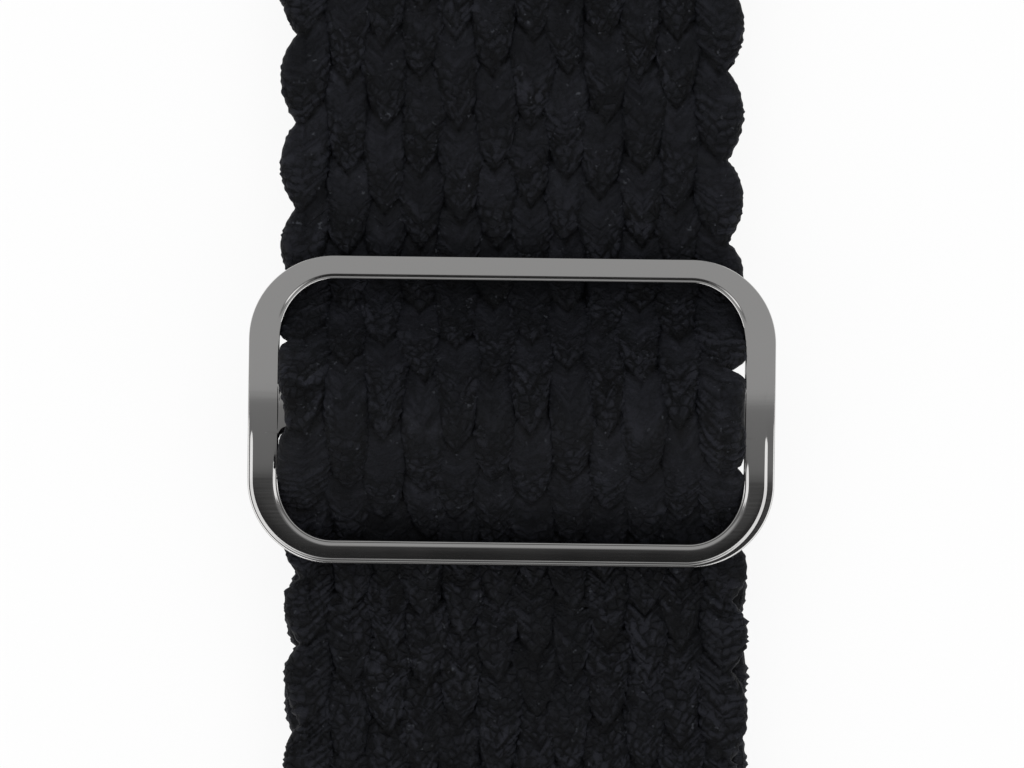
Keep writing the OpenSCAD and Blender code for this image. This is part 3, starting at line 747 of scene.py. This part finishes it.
def centre_bar():
    """Grid of the bar: x runs from rail to rail. Its section is a rectangle whose corners are quarters
    of an ellipse, wide times high: circles under the braid, and flat like the rim's bevel beside it.
    At d inside the fillet the half width has grown by ROOT_R - sqrt(ROOT_R^2 - d^2)."""
    inner = RAIL_X - RIM_W / 2
    ends = np.linspace(inner - 1.2, inner + 0.42, 40)
    x = np.sort(np.r_[np.linspace(-inner + 1.3, inner - 1.3, 90), ends, -ends])
    d = np.clip(np.abs(x) - (inner - RAIL_IN - ROOT_R), 0, ROOT_R - 0.005)
    grow = ROOT_R - np.sqrt(ROOT_R ** 2 - d ** 2)
    a = (np.linspace(0, 2 * np.pi, 48, endpoint=False) + np.pi / 48)[None, :]
    half = (BAR_W / 2 + grow)[:, None]
    open_end = ease((np.abs(x) - inner + 1.4) / 0.4)[:, None]
    wide, high = BAR_T / 2 - 0.17 * open_end, BAR_T / 2 - 0.33 * open_end
    y = np.sign(np.cos(a)) * (half - wide) + wide * np.cos(a)
    z = np.sign(np.sin(a)) * (BAR_T / 2 - high) + high * np.sin(a)
    return np.stack([x[:, None] * np.ones_like(a), y, BUCKLE_Z + z * 1.004 - arch_height(y)], -1)


ring_and_bar = joined([ring, closed_tube(centre_bar())])
buckle = make_piece("buckle", *ring_and_bar)
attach(buckle, "buckle")
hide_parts("buckle_frame")
print("steel in the buckle:", round(enclosed_volume(*ring_and_bar), 1), "cubic mm")


# %% [markdown]
# ## Finish of the steel
# The buckle is polished stainless steel. It has almost no colour of its own and shows the room, so its
# look comes from low roughness, a faint unevenness left by the buffing wheel, and hairline wear.
# The end pieces are the same steel with a satin brushed face, and the pins and tubes are turned.

# %% Material of the buckle
def lined_material(name, colour, low, high, scale, detail=3.0, bumps=0.25, smears=None, metallic=1.0):
    """A surface with fine lines: noise drawn out by the scale, which gives the bumps and the roughness
    from low to high. With smears, the roughness comes from round patches of that scale instead."""
    material, tree, shader = new_material(name)
    spot = add_node(tree, "TexCoord").outputs["Object"]
    stretch = add_node(tree, "Mapping", values={"Scale": scale}, links={"Vector": spot})
    lines = add_node(tree, "TexNoise", values={"Scale": 1.0, "Detail": detail}, links={"Vector": stretch})
    cloudy = lines
    if smears:
        cloudy = add_node(tree, "TexNoise", values={"Scale": smears, "Detail": 3.0}, links={"Vector": spot})
    rough = add_node(tree, "MapRange", values={"To Min": low, "To Max": high}, links={"Value": cloudy})
    tree.links.new(rough.outputs[0], shader.inputs["Roughness"])
    shader.inputs["Base Color"].default_value = hex_colour(colour)
    shader.inputs["Metallic"].default_value = metallic
    relief = add_node(tree, "Bump", values={"Strength": bumps, "Distance": 0.00001},
                      links={"Height": lines})
    tree.links.new(relief.outputs["Normal"], shader.inputs["Normal"])
    return material


# Buffing leaves smears a few millimetres long, and cleaning leaves hairlines, drawn about 0.17 mm
# apart because the real ones don't show at this size
polished = lined_material("polished_stainless_steel", "#c4c3c2", 0.05, 0.11, (300.0, 6000.0, 3000.0),
                          detail=2.0, bumps=0.04, smears=350.0)
buckle.data.materials.append(polished)
print("the buckle has", len(polished.node_tree.nodes), "nodes in its material")


# %% Materials of the end pieces, pins and springs
# The lines of the brush are 0.05 mm apart on the real face, and drawn about 0.1 mm apart. Wire and
# thread get an even grain
brushed = lined_material("brushed_stainless_steel", "#bdbdbe", 0.22, 0.38, (400.0, 9000.0, 9000.0))
turned = lined_material("turned_stainless_steel", "#c6c6c7", 0.16, 0.3, (9000.0, 300.0, 300.0))
spring_wire = lined_material("spring_steel_wire", "#a4a6a9", 0.2, 0.35, (5000.0, 5000.0, 5000.0))
thread = lined_material("black_sewing_thread", "#101115", 0.55, 0.75, (9000.0, 9000.0, 9000.0), metallic=0.0)
for name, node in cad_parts.items():
    if name.endswith("end_piece"):
        finish = brushed
    elif name.endswith("spring"):
        finish = spring_wire
    elif "stitching" in name or name.startswith("strap_") and "pin" not in name:
        finish = thread if "stitching" in name else yarn
    else:
        finish = turned
    node.data.materials.clear()
    node.data.materials.append(finish)
print("nodes with a better material:", len(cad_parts))

# %% [markdown]
# ## Stitches and springs
# The two folds are sewn with thick thread, and each stitch shows as one short bar on either face. The
# thread is two plies twisted together, so its section is a little narrower one way than the other, and
# that shape turns as it goes round the stitch. Inside each spring bar a coil of wire pushes the plunger
# out. Its place is baked into its points, and it is tied to no body here.

# %% Stitches
THREAD_T, STITCH_L, STITCH_PITCH = 0.25, 1.1, 1.6
FOLD_SEAMS, LOOP_SEAMS = (FOLD_END + 0.8, SEAM_Y - 0.4), (TAIL_END + 0.4, TAIL_END + 1.2)


def stitch(x, y, low, top):
    """Points and faces of a closed loop of twisted thread. Its line is the superellipse
    |x / a|^5 + |z / c|^5 = 1 in the plane across the strap, and the thread's radius is
    0.5 THREAD_T * (0.8 + 0.2 |cos(angle - twist)|)."""
    rows, around, twists = 48, 8, 9
    u = np.linspace(0, 2 * np.pi, rows, endpoint=False)
    b = np.linspace(0, 2 * np.pi, around, endpoint=False)
    a, c = (STITCH_L - THREAD_T) / 2, (top - low + THREAD_T) / 2
    shape = (np.abs(np.cos(u)) ** 5 + np.abs(np.sin(u)) ** 5) ** -0.2
    line = np.stack([a * shape * np.cos(u), c * shape * np.sin(u)], -1)
    ahead = np.roll(line, -1, 0) - np.roll(line, 1, 0)
    out = np.stack([ahead[:, 1], -ahead[:, 0]], -1) / np.linalg.norm(ahead, axis=1, keepdims=True)
    radius = THREAD_T / 2 * (0.8 + 0.2 * np.abs(np.cos(b[None, :] - twists * u[:, None] / 2)))
    across = line[:, :1] + out[:, :1] * radius * np.cos(b)
    z = line[:, 1:] + out[:, 1:] * radius * np.cos(b) + (top + low) / 2
    points = np.stack([across + x, y + radius * np.sin(b), z], -1).reshape(-1, 3)
    return points, *outward(points, ring_faces(rows, around))


def sew(name, body, node, seams, width):
    """One piece that holds the stitches of all the seams of a fold."""
    count = int((width - STITCH_L) / STITCH_PITCH)
    centres = (np.arange(count) - (count - 1) / 2) * STITCH_PITCH
    piece = make_piece(name, *joined([stitch(x, *seam) for seam in seams for x in centres]))
    piece.data.materials.append(thread)
    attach(piece, body)
    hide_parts(node)
    print(name, "has", count * len(seams), "stitches")


fold_half = BRAID_T + SEWN_GAP / 2
sew("fold_stitches", "upper_fold", "upper_fold_stitching",
    [(y, PIN_Z - fold_half, PIN_Z + fold_half) for y in FOLD_SEAMS], BRAID_W)
sew("loop_stitches", "buckle", "bar_loop_stitching",
    [(y, (BAR_LOW - LOOP_T) * rise(y) - 0.05, tail_low(y) + LOOP_T) for y in LOOP_SEAMS],
    BRAID_W - 2 * NOTCH_DEPTH)


# %% Coil springs
def coil_spring(end, turns=10, coil_r=0.5, wire_r=0.1):
    """A closed tube of round wire along a helix about the spring bar: y = coil_r cos(2 pi turns t) and
    z = coil_r sin(2 pi turns t), with x growing evenly along the box of the CAD model's spring."""
    low, high = (np.array(corner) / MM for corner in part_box(end + "_bar_spring"))
    t = np.linspace(0, 1, turns * 28 + 1)
    a = 2 * np.pi * turns * t[:, None]
    b = np.linspace(0, 2 * np.pi, 10, endpoint=False)[None, :]
    x = low[0] + wire_r + (high[0] - low[0] - 2 * wire_r) * t[:, None] + wire_r * np.sin(b)
    r = coil_r + wire_r * np.cos(b)
    grid = np.stack([x, (low[1] + high[1]) / 2 + r * np.cos(a), (low[2] + high[2]) / 2 + r * np.sin(a)], -1)
    piece = make_piece(end + "_coil_spring", *closed_tube(grid))
    piece.data.materials.append(spring_wire)
    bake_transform(piece)
    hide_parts(end + "_bar_spring")
    print(end, "spring runs from x", round(float(low[0]), 2), "to", round(float(high[0]), 2), "mm")


coil_spring("upper")
coil_spring("lower")

# %% [markdown]
# ## Floor, light and camera
# The picture is a product shot from straight above on white. The floor is pale and takes a faint
# shadow. It shows white to the camera and in reflections, and it is clear from below, so that the back
# of the strap can be looked at. Two low softboxes stand beside the strap's lower half, a third one
# stands beyond its upper end, and the room does the rest: it is grey on one side and dark overhead on
# the other, because polished steel looks like steel only when it has a dark side to show.

# %% Floor
def pale_floor():
    """A large flat sheet just under the strap. To the camera it mixes a plain white with a pale matt
    surface, which carries the shadow."""
    size, low = 3.0, -0.00003
    mesh = bpy.data.meshes.new("floor")
    mesh.from_pydata([(-size, -size, low), (size, -size, low), (size, size, low), (-size, size, low)],
                     [], [(0, 1, 2, 3)])
    material, tree, shader = new_material("pale_paper")
    shader.inputs["Base Color"].default_value = hex_colour("#f2f2f2")
    shader.inputs["Roughness"].default_value = 0.9
    ray = add_node(tree, "LightPath")
    seen = add_node(tree, "Math", {"operation": "MAXIMUM"},
                    links={0: ray.outputs["Is Camera Ray"], 1: ray.outputs["Is Glossy Ray"]})
    share = add_node(tree, "Math", {"operation": "MULTIPLY"}, {1: 0.9}, {0: seen})
    white = add_node(tree, "Emission", values={"Strength": 1.0})
    surface = shader.outputs["BSDF"].links[0].to_socket
    paper = add_node(tree, "MixShader", links={0: share, 1: shader, 2: white})
    clear = add_node(tree, "BsdfTransparent")
    side = add_node(tree, "NewGeometry")
    both = add_node(tree, "MixShader", links={0: side.outputs["Backfacing"], 1: paper, 2: clear})
    tree.links.new(both.outputs[0], surface)
    mesh.materials.append(material)
    put("floor", mesh)
    print("floor:", 2 * size, "m square,", round(-low / MM, 2), "mm below the strap")


pale_floor()


# %% Lights
def softbox(name, place, size, power):
    """A white rectangular lamp that faces the buckle. It isn't seen by the camera itself."""
    lamp = bpy.data.lights.new(name, "AREA")
    lamp.shape = "RECTANGLE"
    lamp.size, lamp.size_y = size
    lamp.energy = power
    holder = put(name, lamp)
    holder.location = place
    holder.rotation_euler = (-Vector(place)).to_track_quat("-Z", "Y").to_euler()
    holder.visible_camera = False
    return holder


softbox("left_softbox", (-0.485, -0.41, 0.38), (0.97, 0.6), 2.9)
softbox("right_softbox", (0.485, -0.41, 0.38), (0.97, 0.6), 2.9)
# This one lights the cloth and the floor and isn't seen in the steel
far = softbox("far_softbox", (0.0, 0.5, 0.5), (0.9, 0.5), 2.6)
far.visible_glossy = False
print("lamps:", len(bpy.data.lights), "with", round(sum(lamp.energy for lamp in bpy.data.lights), 1), "W")

# %% The room
def studio_room():
    """The room as light from all around: a pale grey wall and ceiling on the side of the strap's upper
    end, which turn to darkness overhead on the side of its lower end. The camera sees plain white."""
    world = bpy.data.worlds.new("room")
    world.use_nodes = True
    bpy.context.scene.world = world
    tree = world.node_tree
    tree.nodes.clear()
    coords = add_node(tree, "TexCoord")
    split = add_node(tree, "SeparateXYZ", links={"Vector": coords.outputs["Generated"]})
    place = add_node(tree, "MapRange", values={"From Min": -0.25, "From Max": 0.25},
                     links={"Value": split.outputs["Y"]})
    grey = add_node(tree, "ValToRGB", links={"Fac": place})
    levels = [(-0.202, 0.02), (-0.189, 0.05), (-0.178, 0.13), (-0.15, 0.2), (0.015, 0.235),
              (0.045, 0.44), (0.2, 0.45)]
    set_ramp(grey, [((y + 0.25) / 0.5, (level, level, level, 1)) for y, level in levels])
    # A ring light overhead, on the dark side only, and dimmer straight towards the lower end
    flat = add_node(tree, "CombineXYZ", links={"X": split.outputs["X"], "Y": split.outputs["Y"]})
    out = add_node(tree, "VectorMath", {"operation": "LENGTH"}, links={0: flat})
    across = add_node(tree, "Math", {"operation": "ABSOLUTE"}, links={0: split.outputs["X"]})
    steps = []
    for source, low, high, first, last in ((out.outputs["Value"], 0.29, 0.34, 0.0, 1.0),
                                           (out.outputs["Value"], 0.58, 0.64, 1.0, 0.0),
                                           (split.outputs["Y"], -0.075, -0.045, 1.0, 0.0),
                                           (across.outputs[0], 0.04, 0.2, 0.35, 1.15)):
        steps.append(add_node(tree, "MapRange", {"interpolation_type": "SMOOTHSTEP"},
                              {"From Min": low, "From Max": high, "To Min": first, "To Max": last},
                              {"Value": source}))
    ring = steps[0]
    for step in steps[1:]:
        ring = add_node(tree, "Math", {"operation": "MULTIPLY"}, links={0: ring, 1: step})
    plus = add_node(tree, "Mix", {"data_type": "RGBA", "blend_type": "ADD"}, {0: 1.0}, {6: grey, 7: ring})
    plain = add_node(tree, "Background", links={"Color": plus.outputs[2]})
    white = add_node(tree, "Background", values={"Color": (1, 1, 1, 1)})
    ray = add_node(tree, "LightPath")
    choose = add_node(tree, "MixShader", links={0: ray.outputs["Is Camera Ray"], 1: plain, 2: white})
    add_node(tree, "OutputWorld", links={"Surface": choose})


studio_room()
print("nodes of the room:", len(bpy.context.scene.world.node_tree.nodes))

# %% [markdown]
# The camera looks straight down from 0.4 m. In the photograph 23.2 pixels are one millimetre at the
# buckle, so the picture is 44.1 mm wide there, and the focal length follows from that. The buckle sits
# a little askew, which a small turn of the camera gives.

# %% Camera
FRAME_W, DISTANCE = 1024 / 23.2 * MM, 0.4
lens = bpy.data.cameras.new("camera")
lens.sensor_width = 36.0
lens.lens = 36.0 * DISTANCE / FRAME_W
lens.clip_start, lens.clip_end = 0.01, 10.0
camera = put("camera", lens)
camera.location = (0.0, 1.19 * MM, BUCKLE_Z * MM + DISTANCE)
camera.rotation_euler = (0.0, 0.0, math.radians(0.7))
bpy.context.scene.camera = camera
bpy.context.scene.view_settings.view_transform = "Standard"
print("focal length:", round(lens.lens, 1), "mm")
